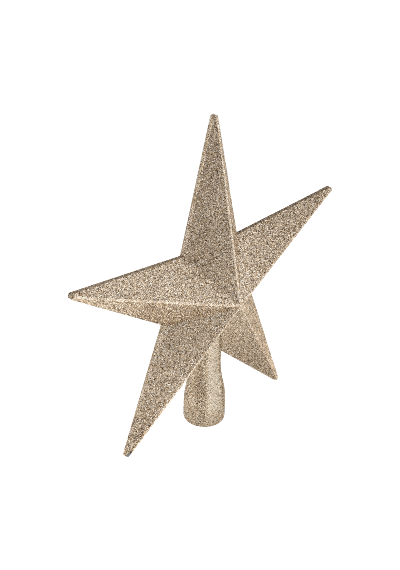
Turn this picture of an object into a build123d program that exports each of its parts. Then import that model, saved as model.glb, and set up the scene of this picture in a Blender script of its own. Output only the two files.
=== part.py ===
from build123d import *
import os
from math import asin, cos, hypot, pi, sin, sqrt, tan

# Christmas tree topper star, in millimetres.
# Two moulded half shells, bonded along a lapped rim, trap the collar of a trunk socket between them.
# Frame: +Z up, the front faces -Y, the origin is the centre of the socket's mouth.

# Star
POINTS = 5
POINT_RADIUS = 105.2  # centre to the sharp end that a point's two edges aim at
POINT_ROUND = 1.65  # plan radius of the blunt end of a point
NOTCH_RADIUS = 33.0  # centre to the inner corners between two points
APEX_HEIGHT = 24.8  # parting plane to the sharp apex that the facets aim at
RIDGE_ROUND = 1.0  # radius along the five ridges of a half
RIM_HEIGHT = 1.1  # upright rim of each half
STAR_CENTRE = 82.1  # height of the star's centre over the socket's mouth

# Half shells
WALL = 1.6
LIP_END_ROUND = 0.4  # least plan radius of the lip and its rebate in a point
LIP_INSET = 0.75  # from the rim's outside to the lap between the halves
LAP_DEPTH = 0.8  # rebate in the front half
LAP_GAP = 0.08  # round the lip, and at its end
BOSS_CIRCLE = 45.0  # centre to each locating boss
BOSS_RADIUS = 2.9
PIN_RADIUS = 1.5
PIN_LENGTH = 4.0
PIN_CHAMFER = 0.4
PIN_GAP = 0.1  # round the pin, and at its end
RIB_THICKNESS = 1.5
RIB_HALF_WIDTH = 13.0
HOLE_DRAFT = 0.6  # degrees, of the hole for the socket's neck

# Trunk socket
NECK_BORE_RADIUS = 6.5  # grips the tree's top shoot
NECK_WALL = 1.6
NECK_BORE_START = 28.0  # height where the bore has narrowed from the mouth
MOUTH_BORE_RADIUS = 8.6
MOUTH_BORE_LENGTH = 20.0
MOUTH_WALL = 2.85
MOUTH_FLAT = 0.3  # flat ring between the bore and the rolled lip
LIP_HEIGHT = 3.0  # of that lip's outer curve
SWELL_START = 11.0  # top of the socket's straight mouth
SWELL_END = 38.5  # height where the swell has narrowed to the neck
COLLAR_OVERHANG = 1.7
COLLAR_THICKNESS = 1.6
CROWN_THICKNESS = 1.6  # closed top, the stop for the shoot
SOCKET_GAP = 0.12  # between the socket and the shells

# Facets: by symmetry every edge of the star lies at one distance from the centre
half_pitch = pi / POINTS  # angle from a point to the next notch
edge_length = sqrt(
    POINT_RADIUS**2 + NOTCH_RADIUS**2 - 2 * POINT_RADIUS * NOTCH_RADIUS * cos(half_pitch)
)
edge_distance = POINT_RADIUS * NOTCH_RADIUS * sin(half_pitch) / edge_length
point_angle = asin(edge_distance / POINT_RADIUS)  # from a point's middle line to its edge
facet_slope = (APEX_HEIGHT - RIM_HEIGHT) / edge_distance
wall_upright = WALL * hypot(1, facet_slope)  # the facets' wall, measured square to the parting plane
cavity_apex = APEX_HEIGHT - wall_upright
cavity_rim = RIM_HEIGHT + WALL * facet_slope - wall_upright

# The lower rib stands where the valley under the star's centre is just wide enough for the collar
neck_radius = NECK_BORE_RADIUS + NECK_WALL
collar_radius = neck_radius + COLLAR_OVERHANG
valley_slope = (APEX_HEIGHT - RIM_HEIGHT) / NOTCH_RADIUS
lower_rib_bottom = STAR_CENTRE - (cavity_apex - collar_radius - SOCKET_GAP) / valley_slope
collar_bottom = lower_rib_bottom + RIB_THICKNESS + SOCKET_GAP
collar_top = collar_bottom + COLLAR_THICKNESS
upper_rib_bottom = collar_top + SOCKET_GAP


def star_outline(inset, tip_round):
    """The star's outline as a flat face, moved in from the rim by inset, with its points rounded."""
    size = 1 - inset / edge_distance
    corners = []
    for corner in range(2 * POINTS):
        radius = NOTCH_RADIUS if corner % 2 else POINT_RADIUS
        angle = corner * half_pitch
        corners.append((size * radius * sin(angle), size * radius * cos(angle)))
    with BuildSketch(Plane.XY, mode=Mode.PRIVATE) as outline:
        with BuildLine():
            Polyline(*corners, close=True)
        make_face()
        tips = outline.vertices().sort_by_distance((0, 0))[-POINTS:]
        fillet(tips, tip_round)
    return outline.sketch_local


def faceted_point(inset, rim_height, apex_height, tip_round=0):
    """A fifth of half a star, lying along +Y: an upright rim and two facets that meet in a ridge."""
    size = 1 - inset / edge_distance
    tip = size * POINT_RADIUS
    notch = size * NOTCH_RADIUS
    ridge_slope = (apex_height - rim_height) / tip
    ridge_end = apex_height / ridge_slope
    half_width = (ridge_end + notch) * tan(point_angle)
    with BuildPart() as point:
        ConvexPolyhedron(
            [
                (0, ridge_end, 0),
                (-half_width, -notch, 0),
                (half_width, -notch, 0),
                (0, -notch, apex_height + ridge_slope * notch),
            ]
        )
        if tip_round:
            ridge = point.edges().filter_by_position(Axis.X, -0.01, 0.01)
            fillet(ridge, RIDGE_ROUND)
        with BuildSketch(Plane.XY) as plan:
            with BuildLine():
                corner = (notch * sin(half_pitch), notch * cos(half_pitch))
                Polyline((0, 0), corner, (0, tip), (-corner[0], corner[1]), close=True)
            make_face()
            if tip_round:
                fillet(plan.vertices().sort_by(Axis.Y)[-1], tip_round)
        extrude(amount=2 * apex_height, mode=Mode.INTERSECT)
        if tip_round:
            tip_end = tip - tip_round / sin(point_angle) + tip_round
            split(bisect_by=Plane((0, tip_end, rim_height), z_dir=(0, facet_slope, 1)), keep=Keep.BOTTOM)
    return point.part


def rim_strip(outer_inset, inner_inset):
    """A strip along the inside of the rim, on the parting plane, between two insets."""
    with BuildSketch(front_plane, mode=Mode.PRIVATE) as strip:
        add(star_outline(outer_inset, max(POINT_ROUND - outer_inset, LIP_END_ROUND)))
        add(star_outline(inner_inset, LIP_END_ROUND), mode=Mode.SUBTRACT)
    return strip.sketch


def cut_neck_hole():
    """Opens the rim, the valley's wall and the lower rib for the socket's neck, wider inside for cement."""
    hole_start = STAR_CENTRE - 1.3 * NOTCH_RADIUS  # under the valley's foot
    with BuildSketch(Plane.XY.offset(hole_start), mode=Mode.PRIVATE) as hole:
        Circle(neck_radius + SOCKET_GAP)
    extrude(hole.sketch, amount=collar_bottom - hole_start, taper=-HOLE_DRAFT, mode=Mode.SUBTRACT)


front_plane = Plane((0, 0, STAR_CENTRE), x_dir=(1, 0, 0), z_dir=(0, -1, 0))
point_places = [front_plane * Rot(Z=360 / POINTS * point) for point in range(POINTS)]
boss_points = (0, POINTS // 2, POINTS // 2 + 1)  # the top point and the two lowest
boss_places = [point_places[point] * Pos(Y=BOSS_CIRCLE) for point in boss_points]
into_front = (Align.CENTER, Align.CENTER, Align.MIN)  # stands on the parting plane

# The hollow of a half shell, less what stays standing in it: the bosses and the collar's two ribs
with BuildPart() as cavity:
    with Locations(*point_places):
        add(faceted_point(WALL, cavity_rim, cavity_apex))
    with Locations(*boss_places):
        Cylinder(BOSS_RADIUS, APEX_HEIGHT, align=into_front, mode=Mode.SUBTRACT)
    for rib_bottom in (lower_rib_bottom, upper_rib_bottom):
        with BuildSketch(Plane.XY.offset(rib_bottom)):
            Rectangle(2 * RIB_HALF_WIDTH, 2 * APEX_HEIGHT)
        extrude(amount=RIB_THICKNESS, mode=Mode.SUBTRACT)

# What both halves share, drawn as the front one
with BuildPart() as half_shell:
    with Locations(*point_places):
        add(faceted_point(0, RIM_HEIGHT, APEX_HEIGHT, POINT_ROUND))
    add(cavity.part, mode=Mode.SUBTRACT)

# Front half: rebated along the inside of its rim, and holed for the pins
with BuildPart() as front_star_shell:
    add(half_shell.part)
    rebate_inset = WALL + LAP_DEPTH / facet_slope  # past the cavity's facets at that depth
    extrude(rim_strip(LIP_INSET, rebate_inset), amount=LAP_DEPTH, mode=Mode.SUBTRACT)
    with Locations(*boss_places):
        Cylinder(PIN_RADIUS + PIN_GAP, PIN_LENGTH + PIN_GAP, align=into_front, mode=Mode.SUBTRACT)
    cut_neck_hole()
front_star_shell.part.label = "front_star_shell"

# Rear half: with the lip that fits the rebate, and the locating pins
with BuildPart() as rear_star_shell:
    add(half_shell.part.mirror(Plane.XZ))
    extrude(rim_strip(LIP_INSET + LAP_GAP, WALL), amount=LAP_DEPTH - LAP_GAP)
    cut_neck_hole()
    with Locations(*boss_places):
        Cylinder(PIN_RADIUS, PIN_LENGTH, align=into_front)
    chamfer(rear_star_shell.edges().group_by(Axis.Y)[0], PIN_CHAMFER)
rear_star_shell.part.label = "rear_star_shell"

# Trunk socket: a barrel-shaped mouth that narrows to the neck, closed by a collared crown
with BuildPart() as trunk_socket:
    mouth_radius = MOUTH_BORE_RADIUS + MOUTH_WALL
    lip_width = MOUTH_WALL - MOUTH_FLAT
    lip_handle = 0.5523  # share of a side that makes the lip's curve a quarter round
    swell_middle = ((neck_radius + mouth_radius) / 2, (SWELL_START + SWELL_END) / 2)
    crown_bottom = collar_top - CROWN_THICKNESS
    with BuildSketch(Plane.XZ):
        with BuildLine():
            neck = Line((neck_radius, collar_bottom), (neck_radius, SWELL_END))
            hollow_curve = TangentArc(neck @ 1, swell_middle, tangent=neck % 1)
            round_curve = TangentArc(
                swell_middle, (mouth_radius, SWELL_START), tangent=hollow_curve % 1
            )
            lip = Bezier(
                (mouth_radius - lip_width, 0),
                (mouth_radius - lip_width + lip_handle * lip_width, 0),
                (mouth_radius, LIP_HEIGHT - lip_handle * LIP_HEIGHT),
                (mouth_radius, LIP_HEIGHT),
            )
            Line(round_curve @ 1, lip @ 1)
            Polyline(
                lip @ 0,
                (MOUTH_BORE_RADIUS, 0),
                (MOUTH_BORE_RADIUS, MOUTH_BORE_LENGTH),
                (NECK_BORE_RADIUS, NECK_BORE_START),
                (NECK_BORE_RADIUS, crown_bottom),
                (0, crown_bottom),
                (0, collar_top),
                (collar_radius, collar_top),
                (collar_radius, collar_bottom),
                neck @ 0,
            )
        make_face()
    revolve(axis=Axis.Z)
trunk_socket.part.label = "trunk_socket"

os.makedirs("parts", exist_ok=True)
export_step(front_star_shell.part, "parts/front_star_shell.step")
export_step(rear_star_shell.part, "parts/rear_star_shell.step")
export_step(trunk_socket.part, "parts/trunk_socket.step")
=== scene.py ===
from math import acos, atan2, cos, degrees, hypot, pi, radians, sin, sqrt

import bmesh
import bpy
from mathutils import Matrix, Vector


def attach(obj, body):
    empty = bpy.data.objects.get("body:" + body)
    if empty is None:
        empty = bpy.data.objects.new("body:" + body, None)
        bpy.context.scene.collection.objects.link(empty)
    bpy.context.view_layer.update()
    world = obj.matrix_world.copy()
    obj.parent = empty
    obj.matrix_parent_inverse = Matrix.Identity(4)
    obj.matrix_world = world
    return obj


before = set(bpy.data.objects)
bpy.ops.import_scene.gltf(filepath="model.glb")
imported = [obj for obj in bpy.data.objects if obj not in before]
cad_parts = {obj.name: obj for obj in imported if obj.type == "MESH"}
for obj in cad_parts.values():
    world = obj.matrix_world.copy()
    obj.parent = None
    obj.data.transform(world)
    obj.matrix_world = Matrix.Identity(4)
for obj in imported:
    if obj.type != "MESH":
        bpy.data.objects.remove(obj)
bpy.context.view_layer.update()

# Christmas tree topper star: the solids stay as they are and get a bed of fine glitter, and loose flakes lie
# over it as meshes of their own. Lengths are in metres.
MM = 0.001

# Star, as in the solids
POINTS = 5
POINT_RADIUS = 105.2 * MM
NOTCH_RADIUS = 33.0 * MM
APEX_HEIGHT = 24.8 * MM  # over the parting plane
RIM_HEIGHT = 1.1 * MM
WALL = 1.6 * MM
STAR_CENTRE = Vector((0, 0, 82.1 * MM))
NECK_CLEAR = 8.6 * MM  # round the axis, where the rim is cut for the socket's neck

# Facets: by symmetry every edge of the star lies at one distance from the centre
half_pitch = pi / POINTS  # angle from a point to the next notch
edge_length = sqrt(
    POINT_RADIUS**2 + NOTCH_RADIUS**2 - 2 * POINT_RADIUS * NOTCH_RADIUS * cos(half_pitch)
)
edge_distance = POINT_RADIUS * NOTCH_RADIUS * sin(half_pitch) / edge_length
edge_turn = acos(edge_distance / POINT_RADIUS)  # from a point's middle line to its edge's perpendicular
facet_slope = (APEX_HEIGHT - RIM_HEIGHT) / edge_distance
wall_upright = WALL * hypot(1, facet_slope)  # the facets' wall, measured square to the parting plane

# Which faces are coated
FACET_FACING = 0.5  # least share of a facet's normal to the front or back
RIM_FACING = 0.3  # most, on the rim
RIM_REACH = 0.6 * MM  # how far in from the edges the rim lies
SOCKET_FACING = 0.2  # least share of a normal away from the socket's axis, on its outside
COAT_TOP = 60 * MM  # the socket's neck is inside the star above this
MERGE_DISTANCE = 0.001 * MM  # between the corners of faces that meet

# Socket
BORE_RADIUS = 8.6 * MM
NECK_BORE_RADIUS = 6.5 * MM
BORE_STEP = (20 * MM, 28 * MM)  # heights between which the bore narrows
BARE_DEPTH = (0.3 * MM, 0.7 * MM)  # past the wall of the bore, below and above that step
BARE_EDGE = 0.15 * MM  # half the width over which bare plastic gives way to glitter

# Loose flakes
FLAKE_SIZE = 0.33 * MM
FLAKE_STRETCH = (0.7, 1.15)  # least and most share of that size
FLAKE_SPACING = 0.263 * MM
MOST_FLAKES = 3e7  # per square metre, before the spacing thins them
FLAKE_TILT = radians(13.5)
TILT_RANGE = (0.6, 2.8)  # share of that tilt for the flattest and the loosest flakes
LOOSENESS = 3.0  # the higher, the fewer loose flakes
FLAKE_LIFT = 0.12 * MM
LEAST_LIFT = 0.3  # share of that lift
FLAKE_TONES = 64  # swatches, a square number
SWATCH_SHARE = 0.16  # of a swatch's side, taken up by a flake's map

# Painted light and shade in the coat's tones
SHADE_END = 55 * MM  # painted shade, more dark flakes from the middle to here on the right
SHADE_FOOT = 40 * MM  # painted shade, more dark flakes from here down to the foot
# Painted highlight on the ridges and painted light on what faces right, as fewer dark flakes
RIDGE_FACING = 0.78  # least share of a ridge's normal to the front or back, more than a facet's
RIGHT_FACING = 0.6  # least share of a normal to the right, on what faces right
RIGHT_PAINTED_LIGHT = 0.6
PATCH_SCALE = 240.0
PATCH_EDGES = (0.58, 0.42)  # of the noise, from where the painted light shows to covered patches where it doesn't
PAINTED_STRIPE_FOOT = 14 * MM  # the socket's stripes of painted light and shade fade out from here down to the mouth
# Painted light round the socket, by degrees from +X: painted highlight above 0, painted shade under 0
SOCKET_PAINTED_LIGHT = (
    (150, 0.0),
    (166, 0.3),
    (196, 0.2),
    (208, -0.4),
    (224, -0.4),
    (240, 1.0),
    (279, 1.0),
    (290, 0.0),
)

# Bed of fine glitter
GRAIN_SIZE = 0.34 * MM
BED_METALLIC = 0.85  # less than foil, because of the glue
PLASTIC_RELIEF = 0.15  # share of the glitter's

# Wear on the lower left point, and a near-black spot at its edge
WORN_TIP = Vector((-57.6 * MM, -2.7 * MM, 2.2 * MM))
WORN_RADIUS = 2.0 * MM
WORN_EDGE = 0.25 * MM  # half the width over which the worn place fades
WORN_RAGGEDNESS = 1.6 * MM
WORN_THINNING = (0.8, 1.4)  # shares of the radius between which loose flakes thin out
DARK_SPOT = Vector((-56.9 * MM, -2.7 * MM, 4.2 * MM))  # at the edge of the worn place
DARK_SPOT_RADIUS = 0.8 * MM
DARK_SPOT_EDGE = 0.1 * MM
DARK_SPOT_COLOUR = (0.008, 0.008, 0.01)

# Studio
LAMP_TINT = (0.95, 1.0, 1.05)
TENT_LIGHT = 0.35
TENT_TINT = (1.08, 1.0, 0.93)
# Degrees from the front towards the right, degrees up, narrowness, radiance
TENT_LAMPS = (
    (45, 10, 5, 1.09),
    (60, -5, 8, 0.30),
    (20, 50, 5, 0.57),
    (5, 5, 8, 0.56),
    (180, 20, 3, 0.28),
    (-129, -2, 9, 1.4),
    (118, -22, 20, 0.5),
)
TABLE_RADIUS = 0.32
TABLE_SIDES = 96
TABLE_LIGHT = 0.71
TABLE_TINT = (1.04, 1.0, 0.95)
# Place, spread, radiance
TABLE_LAMPS = (
    ((-0.06, 0.05, 0), 0.06, 0.95),
    ((-0.06, -0.06, 0), 0.06, 1.00),
    ((0.00, 0.00, 0), 0.04, -0.12),
    ((0.08, -0.05, 0), 0.06, 0.25),
    ((-0.05, -0.20, 0), 0.10, 0.84),
    ((0.20, 0.00, 0), 0.10, 0.20),
    ((0.24, 0.13, 0), 0.08, 1.10),
    ((0.09, 0.01, 0), 0.03, 0.80),
)

# Camera, fitted to the star's outline in the photograph
CAMERA_AZIMUTH = radians(-45.0)  # from the front towards the right
CAMERA_ELEVATION = radians(28.71)
CAMERA_ROLL = radians(1.79)
CAMERA_DISTANCE = 761.6 * MM  # from the star's centre
CAMERA_RIGHT = -4.40 * MM  # beside the line to that centre
CAMERA_UP = 2.32 * MM
CAMERA_LENS = 89.98
CAMERA_SENSOR = 36
CAMERA_NEAR = 0.01


# Node trees

class Nodes:
    """Adds nodes to a tree, with sockets or plain values for their inputs."""

    def __init__(self, tree):
        self.tree = tree

    def add(self, kind, inputs=(), **settings):
        node = self.tree.nodes.new(kind)
        for name, value in settings.items():
            setattr(node, name, value)
        for name, value in dict(inputs).items():
            self.put(value, self.socket(node.inputs, name))
        return node

    def out(self, kind, inputs=(), output=0, **settings):
        return self.socket(self.add(kind, inputs, **settings).outputs, output)

    def put(self, value, socket):
        if isinstance(value, bpy.types.NodeSocket):
            self.tree.links.new(value, socket)
        else:
            socket.default_value = value

    @staticmethod
    def socket(sockets, name):
        if isinstance(name, int):
            return sockets[name]
        return next(socket for socket in sockets if socket.enabled and socket.name == name)

    def math(self, operation, *values):
        return self.out("ShaderNodeMath", enumerate(values), operation=operation)

    def vector(self, operation, *values):
        return self.out("ShaderNodeVectorMath", enumerate(values), operation=operation)

    def measure(self, operation, first, second):
        """A vector operation that gives a number, such as a distance."""
        return self.out("ShaderNodeVectorMath", {0: first, 1: second}, "Value", operation=operation)

    def scale(self, vector, factor):
        return self.out("ShaderNodeVectorMath", {0: vector, 3: factor}, operation="SCALE")

    def noise(self, place, scale, detail):
        return self.out("ShaderNodeTexNoise", {"Vector": place, "Scale": scale, "Detail": detail}, "Fac")

    def ramp(self, factor, stops):
        node = self.add("ShaderNodeValToRGB", {"Fac": factor})
        elements = node.color_ramp.elements
        while len(elements) < len(stops):
            elements.new(0.5)
        for element, (place, colour) in zip(elements, stops):
            element.position = place
            element.color = (*colour, 1)
        return node.outputs["Color"]

    def mix(self, factor, first, second, blend_type="MIX"):
        node = self.add("ShaderNodeMix", data_type="RGBA", blend_type=blend_type)
        self.put(factor, node.inputs["Factor"])
        for socket, value in zip([s for s in node.inputs if s.type == "RGBA"], (first, second)):
            self.put(value if isinstance(value, bpy.types.NodeSocket) else (*value, 1), socket)
        return next(s for s in node.outputs if s.type == "RGBA")

    def blend(self, factor, first, second):
        """From the first number to the second as the factor goes from 0 to 1."""
        return self.out(
            "ShaderNodeMapRange", {"Value": factor, "To Min": first, "To Max": second}, "Result"
        )

    def smooth(self, value, start, end):
        """From 0 to 1, gently, as the value goes from start to end."""
        return self.out(
            "ShaderNodeMapRange",
            {"Value": value, "From Min": start, "From Max": end},
            "Result",
            interpolation_type="SMOOTHSTEP",
        )

    def chance(self, seed, salt, low=0.0, high=1.0):
        """A number by chance for each point. The salt sets one throw apart from the others."""
        return self.out(
            "FunctionNodeRandomValue",
            {"Min": low, "Max": high, "Seed": self.math("ADD", seed, salt)},
            "Value",
        )

    def attribute(self, name, data_type):
        return self.out("GeometryNodeInputNamedAttribute", {"Name": name}, "Attribute", data_type=data_type)

    def store(self, geometry, name, value, data_type, domain):
        return self.out(
            "GeometryNodeStoreNamedAttribute",
            {"Geometry": geometry, "Name": name, "Value": value},
            data_type=data_type,
            domain=domain,
        )


def new_group(kind, name, inputs, outputs):
    group = bpy.data.node_groups.new(name, kind)
    for in_out, sockets in (("INPUT", inputs), ("OUTPUT", outputs)):
        for socket_name, socket_type in sockets.items():
            group.interface.new_socket(socket_name, in_out=in_out, socket_type="NodeSocket" + socket_type)
    return group, group.nodes.new("NodeGroupInput").outputs, group.nodes.new("NodeGroupOutput").inputs


def new_material(name):
    material = bpy.data.materials.new(name)
    material.use_nodes = True
    return material, Nodes(material.node_tree), material.node_tree.nodes["Principled BSDF"].inputs


# Finishes that more than one material uses

def flake_finish():
    """Colour and roughness of a flake, by its tone: dark bronze, champagne gold or near white foil."""
    group, given, result = new_group(
        "ShaderNodeTree",
        "flake_finish",
        {"Tone": "Float", "Tint": "Color", "Least Roughness": "Float", "Most Roughness": "Float"},
        {"Color": "Color", "Roughness": "Float"},
    )
    tree = Nodes(group)
    foil = tree.ramp(
        given["Tone"],
        (
            (0.00, (0.05, 0.025, 0.010)),
            (0.20, (0.13, 0.07, 0.032)),
            (0.30, (0.53, 0.365, 0.215)),
            (0.55, (0.79, 0.62, 0.435)),
            (0.76, (0.95, 0.85, 0.70)),
            (1.00, (0.985, 0.955, 0.90)),
        ),
    )
    tree.put(tree.mix(1.0, foil, given["Tint"], "MULTIPLY"), result["Color"])
    # Flakes of nearly the same colour still differ in gloss, which runs through its range many times
    gloss_runs = 11.3
    shuffled = tree.math("FRACT", tree.math("MULTIPLY", given["Tone"], gloss_runs))
    roughness = tree.blend(shuffled, given["Least Roughness"], given["Most Roughness"])
    tree.put(roughness, result["Roughness"])
    return group


def glitter_grain():
    """The fine glitter under the loose flakes: cells with a tone of their own, each tilted its own way."""
    group, given, result = new_group(
        "ShaderNodeTree",
        "glitter_grain",
        {"Position": "Vector", "Grain Size": "Float"},
        {"Tone": "Float", "Height": "Float"},
    )
    tree = Nodes(group)
    size = given["Grain Size"]
    place = tree.vector(
        "DIVIDE", given["Position"], tree.out("ShaderNodeCombineXYZ", {0: size, 1: size, 2: size})
    )
    cell = tree.add("ShaderNodeTexVoronoi", {"Vector": place, "Scale": 1.0, "Randomness": 1.0}).outputs
    tone = tree.out("ShaderNodeSeparateColor", {"Color": cell["Color"]}, "Red")
    tilt = tree.vector("SUBTRACT", cell["Color"], (0.5, 0.5, 0.5))
    offset = tree.vector("SUBTRACT", place, cell["Position"])
    tree.put(tone, result["Tone"])
    tree.put(tree.measure("DOT_PRODUCT", tilt, offset), result["Height"])
    return group


def moulded_plastic():
    """Satin moulded plastic: faint mottling, and a fine texture from the mould."""
    group, given, result = new_group(
        "ShaderNodeTree",
        "moulded_plastic",
        {"Position": "Vector", "Light": "Color", "Dark": "Color"},
        {"Color": "Color", "Roughness": "Float", "Height": "Float"},
    )
    tree = Nodes(group)
    dark_roughness, light_roughness = 0.46, 0.36
    mottle = tree.smooth(tree.noise(given["Position"], scale=220.0, detail=4.0), 0.35, 0.65)
    tree.put(tree.mix(mottle, given["Dark"], given["Light"]), result["Color"])
    tree.put(tree.blend(mottle, dark_roughness, light_roughness), result["Roughness"])
    tree.put(tree.noise(given["Position"], scale=2600.0, detail=2.0), result["Height"])
    return group


FLAKE_FINISH = flake_finish()
GLITTER_GRAIN = glitter_grain()
MOULDED_PLASTIC = moulded_plastic()


# Materials

def flake_material(name, tint):
    """Metal foil, each flake in its own tone, under a gold lacquer that is deeper at a glancing angle."""
    material, tree, shader = new_material(name)
    tone = tree.out("ShaderNodeAttribute", output="Fac", attribute_name="flake_tone")
    finish = tree.add(
        "ShaderNodeGroup",
        {"Tone": tone, "Tint": (*tint, 1), "Least Roughness": 0.16, "Most Roughness": 0.42},
        node_tree=FLAKE_FINISH,
    ).outputs
    tree.put(finish["Color"], shader["Base Color"])
    tree.put(finish["Roughness"], shader["Roughness"])
    shader["Metallic"].default_value = 1
    shader["Specular Tint"].default_value = (1.0, 0.88, 0.72, 1)
    return material


def bed_material(name, tint, bare_mask, bare_light, bare_dark, dark_spot_mask=None):
    """Fine glitter, with moulded plastic where bare_mask says, and a near-black spot where its own mask says.
    """
    material, tree, shader = new_material(name)
    place = tree.out("ShaderNodeTexCoord", output="Object")
    grain = tree.add(
        "ShaderNodeGroup", {"Position": place, "Grain Size": GRAIN_SIZE}, node_tree=GLITTER_GRAIN
    ).outputs
    finish = tree.add(
        "ShaderNodeGroup",
        {"Tone": grain["Tone"], "Tint": (*tint, 1), "Least Roughness": 0.3, "Most Roughness": 0.55},
        node_tree=FLAKE_FINISH,
    ).outputs
    plastic = tree.add(
        "ShaderNodeGroup",
        {"Position": place, "Light": (*bare_light, 1), "Dark": (*bare_dark, 1)},
        node_tree=MOULDED_PLASTIC,
    ).outputs
    bare = bare_mask(tree, place)
    bare_colour = plastic["Color"]
    if dark_spot_mask:
        spotted = dark_spot_mask(tree, place)
        bare = tree.math("MAXIMUM", bare, spotted)
        bare_colour = tree.mix(spotted, bare_colour, DARK_SPOT_COLOUR)
    tree.put(tree.mix(bare, finish["Color"], bare_colour), shader["Base Color"])
    tree.put(tree.blend(bare, finish["Roughness"], plastic["Roughness"]), shader["Roughness"])
    tree.put(tree.blend(bare, BED_METALLIC, 0.0), shader["Metallic"])
    relief = tree.math("MULTIPLY", plastic["Height"], PLASTIC_RELIEF)
    height = tree.blend(bare, grain["Height"], relief)
    bump = {"Strength": 0.7, "Distance": 0.12 * MM, "Height": height}
    tree.put(tree.out("ShaderNodeBump", bump, "Normal"), shader["Normal"])
    return material


def worn_tip(tree, place):
    """1 on the worn end of the lower left point, with a ragged edge."""
    uneven = tree.math("SUBTRACT", tree.noise(place, scale=900.0, detail=3.0), 0.5)
    reach = tree.math(
        "ADD",
        tree.measure("DISTANCE", place, tuple(WORN_TIP)),
        tree.math("MULTIPLY", uneven, WORN_RAGGEDNESS),
    )
    return tree.smooth(reach, WORN_RADIUS + WORN_EDGE, WORN_RADIUS - WORN_EDGE)


def dark_spot(tree, place):
    """1 in a near-black spot at the edge of the worn end."""
    reach = tree.measure("DISTANCE", place, tuple(DARK_SPOT))
    return tree.smooth(reach, DARK_SPOT_RADIUS + DARK_SPOT_EDGE, DARK_SPOT_RADIUS - DARK_SPOT_EDGE)


def bore(tree, place):
    """1 in the socket's bore, whose walls were never coated."""
    x, y, z = tree.add("ShaderNodeSeparateXYZ", {0: place}).outputs
    square = tree.math("ADD", tree.math("MULTIPLY", x, x), tree.math("MULTIPLY", y, y))
    wall = tree.out(
        "ShaderNodeMapRange",
        {
            "Value": z,
            "From Min": BORE_STEP[0],
            "From Max": BORE_STEP[1],
            "To Min": BORE_RADIUS + BARE_DEPTH[0],
            "To Max": NECK_BORE_RADIUS + BARE_DEPTH[1],
        },
        "Result",
    )
    past_wall = tree.math("SUBTRACT", tree.math("SQRT", square), wall)
    return tree.smooth(past_wall, BARE_EDGE, -BARE_EDGE)


STAR_FLAKES = flake_material("star_flakes", tint=(1.0, 1.0, 1.0))
# The socket's flakes are tinted darker than the star's: painted shade, for the socket standing low by the
# table
SOCKET_FLAKES = flake_material("socket_flakes", tint=(0.80, 0.785, 0.75))
STAR_BED = bed_material(
    "star_glitter_bed",
    tint=(0.72, 0.68, 0.62),
    bare_mask=worn_tip,
    bare_light=(0.17, 0.165, 0.165),
    bare_dark=(0.085, 0.083, 0.085),
    dark_spot_mask=dark_spot,
)
SOCKET_BED = bed_material(
    "socket_glitter_bed",
    tint=(0.60, 0.56, 0.49),
    bare_mask=bore,
    bare_light=(0.66, 0.60, 0.50),
    bare_dark=(0.55, 0.49, 0.40),
)


# Loose flakes

def scattered_points(nodes, given):
    """Points over the skin, some of them lost towards the worn spot, and the turn of the skin at each."""
    points = nodes.add(
        "GeometryNodeDistributePointsOnFaces",
        {
            "Mesh": given["Skin"],
            "Distance Min": given["Flake Spacing"],
            "Density Max": MOST_FLAKES,
            "Seed": given["Seed"],
        },
        distribute_method="POISSON",
    ).outputs
    reach = nodes.measure("DISTANCE", nodes.out("GeometryNodeInputPosition"), given["Worn Spot"])
    bare_end, full_start = (nodes.math("MULTIPLY", given["Worn Radius"], share) for share in WORN_THINNING)
    lost = nodes.out(
        "FunctionNodeCompare",
        {"A": nodes.chance(given["Seed"], 13), "B": nodes.smooth(reach, bare_end, full_start)},
        "Result",
        operation="GREATER_THAN",
    )
    kept = nodes.out("GeometryNodeDeleteGeometry", {"Geometry": points["Points"], "Selection": lost})
    lift = nodes.math("MULTIPLY", given["Lift"], nodes.chance(given["Seed"], 1, low=LEAST_LIFT))
    lifted = nodes.out(
        "GeometryNodeSetPosition", {"Geometry": kept, "Offset": nodes.scale(points["Normal"], lift)}
    )
    return lifted, points["Rotation"]


def flake_turn(nodes, given, skin_turn):
    """Each flake leans by the sum of two throws, so that most lie nearly flat, and a few stand up."""
    seed = given["Seed"]
    flattest, loosest = TILT_RANGE
    loose = nodes.math("POWER", nodes.chance(seed, 12), LOOSENESS)
    share = nodes.math("ADD", flattest, nodes.math("MULTIPLY", loosest - flattest, loose))
    tilt = nodes.math("MULTIPLY", given["Tilt"], share)
    lean = []
    for salt in (2, 4):
        throws = nodes.math(
            "ADD", nodes.chance(seed, salt, low=-1.0), nodes.chance(seed, salt + 1, low=-1.0)
        )
        lean.append(nodes.math("MULTIPLY", throws, tilt))
    spin = nodes.out(
        "ShaderNodeCombineXYZ", {"X": lean[0], "Y": lean[1], "Z": nodes.chance(seed, 6, high=2 * pi)}
    )
    return nodes.out(
        "FunctionNodeRotateRotation",
        {"Rotation": skin_turn, "Rotate By": nodes.out("FunctionNodeEulerToRotation", {"Euler": spin})},
        rotation_space="LOCAL",
    )


def square_flake(nodes, given):
    """One flake, whose corners keep their own map for later."""
    flake = nodes.add(
        "GeometryNodeMeshGrid",
        {"Size X": given["Flake Size"], "Size Y": given["Flake Size"], "Vertices X": 2, "Vertices Y": 2},
    ).outputs
    return nodes.store(flake["Mesh"], "corner", flake["UV Map"], "FLOAT2", "CORNER")


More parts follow.
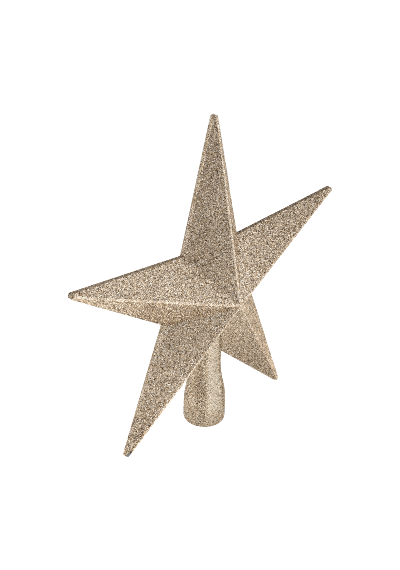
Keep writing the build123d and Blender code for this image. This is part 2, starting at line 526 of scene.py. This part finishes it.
def flake_tone(nodes, given):
    """Tone, by chance, with painted light and shade: dark flakes prevail towards the right end and the foot,
    as painted shade, and few lie where a face has painted light.
    """
    place = nodes.out("GeometryNodeInputPosition")
    across, _, up = nodes.add("ShaderNodeSeparateXYZ", {0: place}).outputs
    # Painted shade: more dark flakes towards the right end and towards the foot
    painted_shade = nodes.math(
        "MAXIMUM", nodes.smooth(across, 0.0, given["Shade End"]), nodes.smooth(up, given["Shade Foot"], 0.0)
    )
    power = nodes.math("ADD", 1.0, nodes.math("MULTIPLY", painted_shade, given["Painted Shade"]))
    patches = nodes.smooth(nodes.noise(place, PATCH_SCALE, detail=2.0), *PATCH_EDGES)
    covered = nodes.math("MULTIPLY", given["Patchiness"], patches)
    # Painted light from each face, left out in random covered patches: fewer dark flakes where it is above 0,
    # more where it is below 0, as painted shade
    painted_light = nodes.math("MULTIPLY", nodes.attribute("painted_light", "FLOAT"), nodes.math("SUBTRACT", 1.0, covered))
    painted_light = nodes.math("MULTIPLY", painted_light, nodes.smooth(up, 0.0, given["Painted Light Foot"]))
    darkest = nodes.math("MULTIPLY", painted_light, given["Painted Light Tone"])
    tone = nodes.blend(nodes.math("POWER", nodes.chance(given["Seed"], 9), power), darkest, 1.0)
    # Rounded to the middle of a swatch
    below_top = nodes.math("SUBTRACT", given["Tones"], 0.001)
    swatch = nodes.math("MAXIMUM", nodes.math("FLOOR", nodes.math("MULTIPLY", tone, below_top)), 0.0)
    return nodes.math("DIVIDE", nodes.math("ADD", swatch, 0.5), given["Tones"])


def swatch_map(nodes, given):
    """A flake's map as a small square in the middle of its tone's swatch."""
    side = nodes.math("SQRT", given["Tones"])
    tone = nodes.attribute("flake_tone", "FLOAT")
    swatch = nodes.math("SUBTRACT", nodes.math("MULTIPLY", tone, given["Tones"]), 0.5)
    # A quarter is added so that a rounding error can't put the first swatch of a row in the row before
    row = nodes.math("FLOOR", nodes.math("DIVIDE", nodes.math("ADD", swatch, 0.25), side))
    column = nodes.math("SUBTRACT", swatch, nodes.math("MULTIPLY", row, side))
    half = (0.5, 0.5, 0)
    middle = nodes.vector("ADD", nodes.out("ShaderNodeCombineXYZ", {"X": column, "Y": row}), half)
    corner = nodes.vector("SUBTRACT", nodes.attribute("corner", "FLOAT_VECTOR"), half)
    spot = nodes.vector("ADD", middle, nodes.vector("MULTIPLY", corner, (SWATCH_SHARE, SWATCH_SHARE, 0)))
    return nodes.scale(spot, nodes.math("DIVIDE", 1.0, side))


def glitter_coat():
    """Scatters square flakes over a skin, each with its own tilt, lift and tone, and maps each of them to the
    swatch of its tone."""
    group, given, result = new_group(
        "GeometryNodeTree",
        "glitter_coat",
        {
            "Skin": "Geometry",
            "Flake Size": "Float",
            "Flake Spacing": "Float",
            "Tilt": "Float",
            "Lift": "Float",
            "Tones": "Int",
            "Painted Light Tone": "Float",
            "Painted Light Foot": "Float",
            "Patchiness": "Float",
            "Painted Shade": "Float",
            "Shade End": "Float",
            "Shade Foot": "Float",
            "Worn Spot": "Vector",
            "Worn Radius": "Float",
            "Seed": "Int",
            "Finish": "Material",
        },
        {"Flakes": "Geometry"},
    )
    nodes = Nodes(group)
    points, skin_turn = scattered_points(nodes, given)
    width, length = (nodes.chance(given["Seed"], salt, *FLAKE_STRETCH) for salt in (7, 8))
    placed = nodes.out(
        "GeometryNodeInstanceOnPoints",
        {
            "Points": points,
            "Instance": square_flake(nodes, given),
            "Rotation": flake_turn(nodes, given, skin_turn),
            "Scale": nodes.out("ShaderNodeCombineXYZ", {"X": width, "Y": length, "Z": 1.0}),
        },
    )
    toned = nodes.store(placed, "flake_tone", flake_tone(nodes, given), "FLOAT", "INSTANCE")
    flakes = nodes.out("GeometryNodeRealizeInstances", {"Geometry": toned})
    mapped = nodes.store(flakes, "OFBake", swatch_map(nodes, given), "FLOAT2", "CORNER")
    clean = nodes.out("GeometryNodeRemoveAttribute", {"Geometry": mapped, "Name": "corner"})
    finished = nodes.out("GeometryNodeSetMaterial", {"Geometry": clean, "Material": given["Finish"]})
    nodes.put(finished, result["Flakes"])
    return group


def star_painted_light(normal):
    """Painted highlight along the rounded ridges, and painted light on what faces right: fewer dark flakes
    there.
    """
    if abs(normal.y) > RIDGE_FACING:
        return 1.0
    return RIGHT_PAINTED_LIGHT if normal.x > RIGHT_FACING else 0.0


def socket_painted_light(normal):
    """Painted light and shade in stripes down the socket, by the way each face turns: paler stripes as
    painted highlight, and a darker one at its front as painted shade.
    """
    turn = degrees(atan2(normal.y, normal.x)) % 360
    for (start, first), (end, last) in zip(SOCKET_PAINTED_LIGHT, SOCKET_PAINTED_LIGHT[1:]):
        if start <= turn < end:
            return first + (last - first) * (turn - start) / (end - start)
    return 0.0


def on_star(centre, normal):
    """Whether a face of a half shell is one of its outer facets, or its rim."""
    across, up = centre.x, centre.z - STAR_CENTRE.z
    turn = abs((atan2(across, up) + half_pitch) % (2 * half_pitch) - half_pitch)
    inset = edge_distance - hypot(across, up) * cos(turn - edge_turn)
    depth = RIM_HEIGHT + facet_slope * inset - abs(centre.y)
    if depth > wall_upright / 2:
        return False
    outward = normal.y if centre.y > 0 else -normal.y
    upright = inset < RIM_REACH and abs(normal.y) < RIM_FACING
    return outward > FACET_FACING or (upright and hypot(centre.x, centre.y) > NECK_CLEAR)


def on_socket(centre, normal):
    """Whether a face of the socket is on its outside and not hidden in the star."""
    outward = centre.x * normal.x + centre.y * normal.y
    return outward > SOCKET_FACING * hypot(centre.x, centre.y) and centre.z < COAT_TOP


def skin_of(node, name, is_coated, painted_light_of):
    """A copy of a node's mesh, merged, with only the faces that were coated."""
    skin = bmesh.new()
    skin.from_mesh(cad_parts[node].data)
    bmesh.ops.remove_doubles(skin, verts=skin.verts, dist=MERGE_DISTANCE)
    skin.normal_update()
    bare = [face for face in skin.faces if not is_coated(face.calc_center_median(), face.normal)]
    bmesh.ops.delete(skin, geom=bare, context="FACES")
    # Each face keeps its share of painted light, or of painted shade below 0, for the flakes' tones
    painted_light = skin.faces.layers.float.new("painted_light")
    for face in skin.faces:
        face[painted_light] = painted_light_of(face.normal)
    mesh = bpy.data.meshes.new(name)
    skin.to_mesh(mesh)
    skin.free()
    piece = bpy.data.objects.new(name, mesh)
    bpy.context.scene.collection.objects.link(piece)
    return piece


GLITTER_COAT = glitter_coat()
STAR_COAT = {
    "Painted Light Tone": 0.45,
    "Painted Light Foot": 0.01 * MM,  # so low that the painted highlight on the ridges doesn't fade
    "Patchiness": 0.5,
    "Painted Shade": 0.9,
    "Finish": STAR_FLAKES,
}
SOCKET_COAT = {
    "Painted Light Tone": 0.55,
    "Painted Light Foot": PAINTED_STRIPE_FOOT,
    "Patchiness": 0.0,
    "Painted Shade": 0.0,
    "Finish": SOCKET_FLAKES,
}


def coat(node, name, is_coated, painted_light_of, look, seed):
    """Loose flakes over a node's coated skin, as a piece of their own."""
    piece = skin_of(node, name, is_coated, painted_light_of)
    modifier = piece.modifiers.new("glitter", "NODES")
    modifier.node_group = GLITTER_COAT
    values = {
        "Flake Size": FLAKE_SIZE,
        "Flake Spacing": FLAKE_SPACING,
        "Tilt": FLAKE_TILT,
        "Lift": FLAKE_LIFT,
        "Tones": FLAKE_TONES,
        "Shade End": SHADE_END,
        "Shade Foot": SHADE_FOOT,
        "Worn Spot": WORN_TIP,
        "Worn Radius": WORN_RADIUS,
        "Seed": seed,
        **look,
    }
    for socket in GLITTER_COAT.interface.items_tree:
        if socket.in_out == "INPUT" and socket.name in values:
            modifier[socket.identifier] = values[socket.name]
    bpy.context.view_layer.update()
    depsgraph = bpy.context.evaluated_depsgraph_get()
    flakes = bpy.data.meshes.new_from_object(
        piece.evaluated_get(depsgraph), preserve_all_data_layers=True, depsgraph=depsgraph
    )
    piece.modifiers.remove(modifier)
    flakes.materials.pop(index=0)  # the flake's own empty slot
    piece.data = flakes
    flakes.name = name
    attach(piece, "root")


coat("front_star_shell", "front_glitter", on_star, star_painted_light, STAR_COAT, seed=11)
coat("rear_star_shell", "rear_glitter", on_star, star_painted_light, STAR_COAT, seed=23)
coat("trunk_socket", "socket_glitter", on_socket, socket_painted_light, SOCKET_COAT, seed=37)
beds = {"front_star_shell": STAR_BED, "rear_star_shell": STAR_BED, "trunk_socket": SOCKET_BED}
for node, bed in beds.items():
    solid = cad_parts[node]
    solid.data.materials.clear()
    solid.data.materials.append(bed)


# Studio

def lit_white(tree, lamps, light, tint):
    """Lamps, each a falloff and a radiance, over an even tinted light. The camera itself sees white."""
    lit = 0.0
    for falloff, radiance in lamps:
        lit = tree.math("ADD", lit, tree.math("MULTIPLY", tree.math("EXPONENT", falloff), radiance))
    even = tuple(light * share for share in tint)
    colour = tree.vector("ADD", tree.scale(LAMP_TINT, lit), even)
    return tree.vector("MAXIMUM", colour, tree.out("ShaderNodeLightPath", output="Is Camera Ray"))


def light_table():
    """A white table lit from below, so that the star's undersides are bright and it throws no shadow."""
    mesh = bpy.data.meshes.new("light_table")
    top = bmesh.new()
    bmesh.ops.create_circle(top, cap_ends=True, segments=TABLE_SIDES, radius=TABLE_RADIUS)
    top.to_mesh(mesh)
    top.free()
    table = bpy.data.objects.new("light_table", mesh)
    bpy.context.scene.collection.objects.link(table)
    material, tree, shader = new_material("table_acrylic")
    shader["Base Color"].default_value = (0.2, 0.2, 0.2, 1)
    shader["Roughness"].default_value = 0.9
    shader["Specular IOR Level"].default_value = 0.1
    shader["Emission Strength"].default_value = 1
    place = tree.out("ShaderNodeTexCoord", output="Object")
    lamps = []
    for lamp, spread, radiance in TABLE_LAMPS:
        reach = tree.math("DIVIDE", tree.measure("DISTANCE", place, lamp), spread)
        lamps.append((tree.math("MULTIPLY", tree.math("MULTIPLY", reach, reach), -1.0), radiance))
    tree.put(lit_white(tree, lamps, TABLE_LIGHT, TABLE_TINT), shader["Emission Color"])
    mesh.materials.append(material)


def room():
    """A white tent all round, with soft lamps behind it."""
    world = bpy.data.worlds.new("room")
    world.use_nodes = True
    tree = Nodes(world.node_tree)
    towards = tree.out("ShaderNodeTexCoord", output="Generated")
    lamps = []
    for azimuth, elevation, narrowness, radiance in TENT_LAMPS:
        across, up = radians(azimuth), radians(elevation)
        lamp = (sin(across) * cos(up), -cos(across) * cos(up), sin(up))
        facing = tree.math("SUBTRACT", tree.measure("DOT_PRODUCT", towards, lamp), 1.0)
        lamps.append((tree.math("MULTIPLY", facing, narrowness), radiance))
    background = world.node_tree.nodes["Background"].inputs["Color"]
    tree.put(lit_white(tree, lamps, TENT_LIGHT, TENT_TINT), background)
    bpy.context.scene.world = world


def camera():
    """Where the photograph was taken from, with its plain tones and its sharpness."""
    back = Vector(
        (
            sin(CAMERA_AZIMUTH) * cos(CAMERA_ELEVATION),
            -cos(CAMERA_AZIMUTH) * cos(CAMERA_ELEVATION),
            sin(CAMERA_ELEVATION),
        )
    )
    level = Vector((cos(CAMERA_AZIMUTH), sin(CAMERA_AZIMUTH), 0))
    upright = back.cross(level)
    right = level * cos(CAMERA_ROLL) + upright * sin(CAMERA_ROLL)
    up = upright * cos(CAMERA_ROLL) - level * sin(CAMERA_ROLL)
    place = STAR_CENTRE + CAMERA_DISTANCE * back + CAMERA_RIGHT * right + CAMERA_UP * up
    view = bpy.data.objects.new("camera", bpy.data.cameras.new("camera"))
    view.data.lens = CAMERA_LENS
    view.data.sensor_width = CAMERA_SENSOR
    view.data.clip_start = CAMERA_NEAR
    view.matrix_world = Matrix.Translation(place) @ Matrix((right, up, back)).transposed().to_4x4()
    bpy.context.scene.collection.objects.link(view)
    bpy.context.scene.camera = view
    bpy.context.scene.view_settings.view_transform = "Standard"
    bpy.context.scene.cycles.use_denoising = False  # it would smear the glitter
    bpy.context.scene.cycles.filter_width = 1.0  # the photograph is sharp to the pixel


light_table()
room()
camera()
